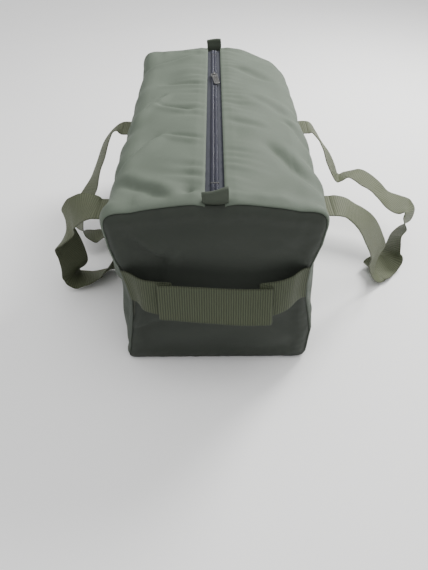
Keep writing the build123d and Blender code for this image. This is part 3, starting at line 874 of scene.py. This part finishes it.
def end_handle(name, end):
    """Webbing across an end panel with two pleats; its middle stands off and tips forward at the bottom."""
    # x, stand-off, height of the middle, lean of the lower edge outward (degrees)
    half_l = [(-127, 1.0, 152, 2), (-122, 2.0, 152, 2), (-115, 5.0, 151.5, 3), (-107, 9.0, 151, 4),
              (-98, 13.0, 150, 6), (-88, 16.5, 149, 7), (-77, 19.0, 148, 9), (-66, 20.0, 147, 10),
              (-57, 21.0, 147, 11), (-54.0, 22.2, 147, 11), (-57, 23.4, 147, 12), (-64, 24.4, 147.5, 12),
              (-69.0, 25.6, 148, 13), (-69.6, 27.0, 148, 13), (-66, 28.2, 148, 13), (-52, 29.0, 148, 14),
              (-30, 30.0, 146.5, 16)]
    half_r = [(0, 30.5, 144, 18), (30, 30.2, 141, 20), (52, 29.0, 139.5, 21), (66, 28.0, 139, 21),
              (69.6, 26.8, 139, 20), (69.0, 25.4, 139, 20), (64, 24.2, 140, 18), (57, 23.2, 141, 17),
              (54.0, 22.0, 142, 16), (57, 20.8, 143, 16), (66, 20.0, 144, 14), (77, 19.0, 146, 12),
              (88, 16.5, 149, 9), (98, 13.0, 151.5, 6), (107, 9.0, 153.5, 4), (115, 5.0, 155, 3),
              (122, 2.0, 155, 2), (127, 1.0, 155, 2)]
    p = np.array(half_l + half_r, float)
    p = spline(p, 6)
    x, off, z, lean = p.T
    x, off, z, lean = x / 1000, off / 1000, z / 1000, np.radians(lean)
    if end > 0:
        x = -x
    c = np.stack([x, end * (HALF_L + .0035 + off), z], -1)
    w = np.stack([np.zeros_like(x), end * -np.sin(lean), np.cos(lean)], -1)
    g = c[:, None] + w[:, None] * ACROSS[None, :, None]
    side = np.sign(x)[:, None]
    zz = g[..., 2]
    yy = np.full_like(zz, end * (HALF_L - .001))
    ax = np.abs(g[..., 0])
    for s in (-1, 1):
        dx, _ = sag(s, ax, yy, zz)
        k = (side[:, 0] == s)
        pull = ease((ax - .060) / .05) * dx
        g[k, :, 0] += s * pull[k]
    cut_a = int(np.argmax(np.abs(x) < END_HINGE_X))
    cut_b = len(x) - 1 - int(np.argmax(np.abs(x[::-1]) < END_HINGE_X))
    parts = [(g[:cut_a + 1], x[0]), (g[cut_a:cut_b + 1], 0), (g[cut_b:], x[-1])]
    at, body = 0.0, f"{name}_grip"
    for p, where in parts:
        run = along_of(p)
        part = "grip" if where == 0 else "left_root" if where < 0 else "right_root"
        # the end handles' webbing is darkened as painted shade
        o = strap_mesh(f"end_webbing_{name}_{part}", p, at + run, END_WEBBING_PAINTED_SHADE)
        at += run[-1]
        if where == 0:
            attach(o, body)
            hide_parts(f"end_handle_{name}")
        else:
            m = 1 if where > 0 else -1
            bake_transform(o)
            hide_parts(f"end_strap_{name}_{'left' if m < 0 else 'right'}")


# ---- zip ----------------------------------------------------------------------------------------------
def dip(y):
    """The zip ends sink into the seams."""
    return -.0045 * ease(1 - (y + HALF_L) / .030) - .0025 * ease(1 - (HALF_L - y) / .030)


def zip_parts():
    """Tapes, coil teeth, topstitching, stops, slider and pull."""
    for name, side, g, n in (("left", -1, left_grid, left_n), ("right", 1, right_grid, right_n)):
        xs = np.array([.0008, .002, .004, .006, .009, .012, .0155, .019])
        ys = np.linspace(-.2494, .2494, 120)
        X, Y = np.meshgrid(xs, ys, indexing="ij")
        Z = COIL_Z - .0001 + dip(Y) - .0004 * ease((X - .009) / .004)
        Z = Z + .00012 * waves(Y, X, .02, 81 + side, 8) * (X > .005)
        t = thick_sheet(f"zip_tape_knit_{name}", np.stack([side * X, Y, Z], -1), .0007, TAPE,
                        np.stack([X, Y], -1), outward=side)
        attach(t, "bag")
        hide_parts(f"zip_tape_{name}")
        pitch = .00128
        teeth = []
        shape = np.array([(.0041, .0003), (.0043, .0011), (.0037, .0020), (.0022, .0023),
                          (.0009, .0021), (.0003, .0014), (.0004, .0007)])
        for k in range(int(2 * .243 / pitch)):
            yc = -.243 + (k + (.5 if side > 0 else 0)) * pitch
            slant = np.linspace(-.00028, .00028, len(shape))
            height = COIL_Z + float(dip(yc)) + shape[:, 1]
            teeth.append((np.stack([side * shape[:, 0], yc + slant, height], -1), (0, 1, 0)))
        c = tubes(f"zip_teeth_{name}", teeth, .00042, COIL, 5)
        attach(c, "bag")
        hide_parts(f"zip_coil_{name}")
        rows = []
        for u in (.0024, .0062):
            i = int(np.argmin(np.abs(U_LINE - u)))
            rows += stitches(g[i, 6:-6], n[i, 6:-6], .0040, .0031)
        st = tubes(f"zip_topstitch_{name}", rows, .00030, THREAD, 5)
        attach(st, "bag")
    for name, y in (("front", -STOP_Y), ("rear", STOP_Y)):
        m = plate(f"zip_stop_bar_{name}", rounded(-.0050, .0050, y - .0015, y + .0015, .0011),
                  COIL_Z - .0001, COIL_Z + .0029, METAL_DULL, .0005)
        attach(m, "bag")
        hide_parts(f"zip_stop_{name}")
    slider()
    pull()


def rounded(x0, x1, y0, y1, r, n=5):
    """Outline of a rectangle with round corners."""
    pts = []
    corners = ((x1 - r, y1 - r, 0), (x0 + r, y1 - r, 90), (x0 + r, y0 + r, 180), (x1 - r, y0 + r, 270))
    for cx, cy, a in corners:
        for i in range(n + 1):
            t = radians(a + 90 * i / n)
            pts.append((cx + r * cos(t), cy + r * sin(t)))
    return pts


def soften(o, width):
    b = o.modifiers.new("soft_edges", "BEVEL")
    b.width, b.segments, b.limit_method, b.angle_limit = width, 3, "ANGLE", radians(35)


def plate(name, pts, z0, z1, material, bevel):
    """A flat part cut to an outline, with softened edges."""
    k = len(pts)
    verts = [(x, y, z0) for x, y in pts] + [(x, y, z1) for x, y in pts]
    faces = [tuple(range(k))[::-1], tuple(range(k, 2 * k))]
    faces += [(i, (i + 1) % k, k + (i + 1) % k, k + i) for i in range(k)]
    o = new_mesh(name, verts, faces, material)
    soften(o, bevel)
    return o


def joined(name, objs, where=None):
    """Joins metal parts into one piece, with their bevels applied."""
    dg = bpy.context.evaluated_depsgraph_get()
    verts, faces = [], []
    for o in objs:
        e = o.evaluated_get(dg)
        m = e.to_mesh()
        start = len(verts)
        verts += [tuple(v.co) for v in m.vertices]
        faces += [tuple(start + i for i in p.vertices) for p in m.polygons]
        e.to_mesh_clear()
    material = objs[0].data.materials[0]
    for o in objs:
        bpy.data.objects.remove(o)
    o = new_mesh(name, verts, faces, material)
    if where is not None:
        o.data.transform(where)
    return o


def slider():
    """Two plates, flanges beside the coil rows and a low arched bridge."""
    top, half = COIL_Z + .0027, .00535
    y0, y1 = SLIDER_Y - .007, SLIDER_Y + .007
    head = [(-half, y1 - .0022), (-.0040, y1), (-.0014, y1), (0, y1 - .0016), (.0014, y1), (.0040, y1),
            (half, y1 - .0022), (half, y0 + .004), (.0036, y0), (-.0036, y0), (-half, y0 + .004)]
    bits = [plate("top_plate", head[::-1], top, top + .0012, METAL, .00035),
            plate("low_plate", head[::-1], COIL_Z - .0023, COIL_Z - .0011, METAL, .0003)]
    for s in (-1, 1):
        xs = sorted((s * .00428, s * half))
        flange = rounded(*xs, y0 + .004, y1 - .0024, .0004, 3)
        bits.append(plate("flange", flange, COIL_Z + .0003, top + .0003, METAL, .0002))
    arch = [(-.0052, .0006), (-.0050, .0022), (-.0040, .0036), (-.0022, .0042), (0, .0043),
            (.0022, .0042), (.0040, .0036), (.0050, .0022), (.0052, .0006)]
    path = np.array([(0, SLIDER_Y + a, top + .0006 + b) for a, b in arch])
    path = spline(path, 3)
    bits.append(tubes("bridge", [(path, (1, 0, 0))], .0011, METAL, 8, .9))
    o = joined("slider_body_cast", bits)
    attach(o, "slider")
    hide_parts("zip_slider")


def frame_ring(name, outer, inner, z0, z1):
    """A flat frame between two outlines with the same number of points."""
    k = len(outer)
    verts = [(x, y, z) for z in (z0, z1) for pts in (outer, inner) for x, y in pts]
    faces = []
    for i in range(k):
        j = (i + 1) % k
        faces += [(i, i + k, j + k, j), (2 * k + i, 2 * k + j, 3 * k + j, 3 * k + i),
                  (i, j, 2 * k + j, 2 * k + i), (k + i, 3 * k + i, 3 * k + j, k + j)]
    o = new_mesh(name, verts, faces, METAL)
    soften(o, .00035)
    return o


def pull():
    """Crossbar, two cheeks, a ring and a framed plate that leans to one side."""
    bar = np.array([(x, 0, 0) for x in (-.0033, -.0015, 0, .0015, .0033)])
    bits = [tubes("crossbar", [(bar, (0, 0, 1))], .0008, METAL, 10)]
    for s in (-1, 1):
        arm = spline(np.array([(s * .0029, .0006, 0), (s * .0029, -.003, 0), (s * .0028, -.0062, 0),
                               (s * .0020, -.0088, 0)]), 4)
        bits.append(tubes("cheek", [(arm, (0, 0, 1))], .00085, METAL, 8))
    outer = rounded(-.0045, .0045, -.039, -.0076, .0026, 6)
    inner = rounded(-.0031, .0031, -.0352, -.0108, .0016, 6)
    bits.append(frame_ring("rim", outer, inner, -.0009, .0009))
    panel = rounded(-.0033, .0033, -.0354, -.0106, .0016, 6)
    bits.append(plate("panel", panel, -.0003, .00035, METAL, .0001))
    for i in range(9):
        y = -.0128 - i * .0026
        ridge = np.array([(x, y + .0008 * (1 - abs(x) / .0026), .0004)
                          for x in (-.0026, -.0013, 0, .0013, .0026)])
        bits.append(tubes("ridge", [(ridge, (0, 0, 1))], .00034, METAL, 6))
    lean = Matrix.Rotation(radians(7), 4, "Z")
    place = Matrix.Translation((0, SLIDER_Y, PIVOT_Z)) @ Matrix.Rotation(radians(2.0), 4, "X") @ lean
    o = joined("pull_plate_framed", bits, place)
    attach(o, "pull")
    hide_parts("zip_pull")


def zip_tab(name, end):
    """A soft folded loop of cloth standing in the seam, higher at one side."""
    half = .0145 if end < 0 else .0128
    xs = np.linspace(-half, half, 22)
    t = np.concatenate([np.linspace(0, .42, 12), np.linspace(.45, .55, 9), np.linspace(.58, 1, 12)])
    T, X = np.meshgrid(t, xs, indexing="ij")
    high = .0150 + (.0028 if end < 0 else .0004) * X / half + .0006 * waves(X, X * 0, .03, 91 + end, 6)
    base = CROWN_Z - .0065
    r = .0032 + .0006 * np.sin(X * 90)
    ang = np.clip((T - .42) / .16, 0, 1) * pi
    rise = np.where(T < .42, T / .42, np.where(T > .58, (1 - T) / .42, 1))
    pinch = .35 + .65 * ease(rise * 1.6)
    y = np.where(T < .42, r * pinch, np.where(T > .58, -r * pinch, r * np.cos(ang)))
    z = base + (high + CROWN_Z - base - .0035) * rise + r * np.sin(ang) * ((T >= .42) & (T <= .58))
    lean = .0022 * ease(rise)
    bow = .0016 * (1 - (X / half) ** 2) * rise
    out = HALF_L - .0042 + lean + bow + y
    g = np.stack([X + .0006 * np.sin(rise * 3), end * out, z], -1)
    run = np.concatenate([[0], np.cumsum(np.linalg.norm(np.diff(g[:, 11], axis=0), axis=1))])
    uv = np.stack([X + half, np.repeat(run[:, None], len(xs), 1)], -1)
    n = grid_normals(g)
    mid = n[len(t) // 2, 11, 2]
    o = thick_sheet(f"zip_tab_loop_{name}", g, .0011, TAB, uv, outward=1 if mid > 0 else -1)
    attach(o, "bag")
    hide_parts(f"zip_tab_{name}")


camera()
studio()
left_cloth, left_grid, left_n = side_cloth("left", -1)
right_cloth, right_grid, right_n = side_cloth("right", 1)
base = base_cloth()
for nm, e in (("front", -1), ("rear", 1)):
    end_cloth(nm, e)

carry_handle("left", -1, LEFT_LOOP)
carry_handle("right", 1, RIGHT_LOOP)
for nm, e in (("front", -1), ("rear", 1)):
    end_handle(nm, e)
    zip_tab(nm, e)
zip_parts()

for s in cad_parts["base_board"].material_slots:
    s.material = BOARD
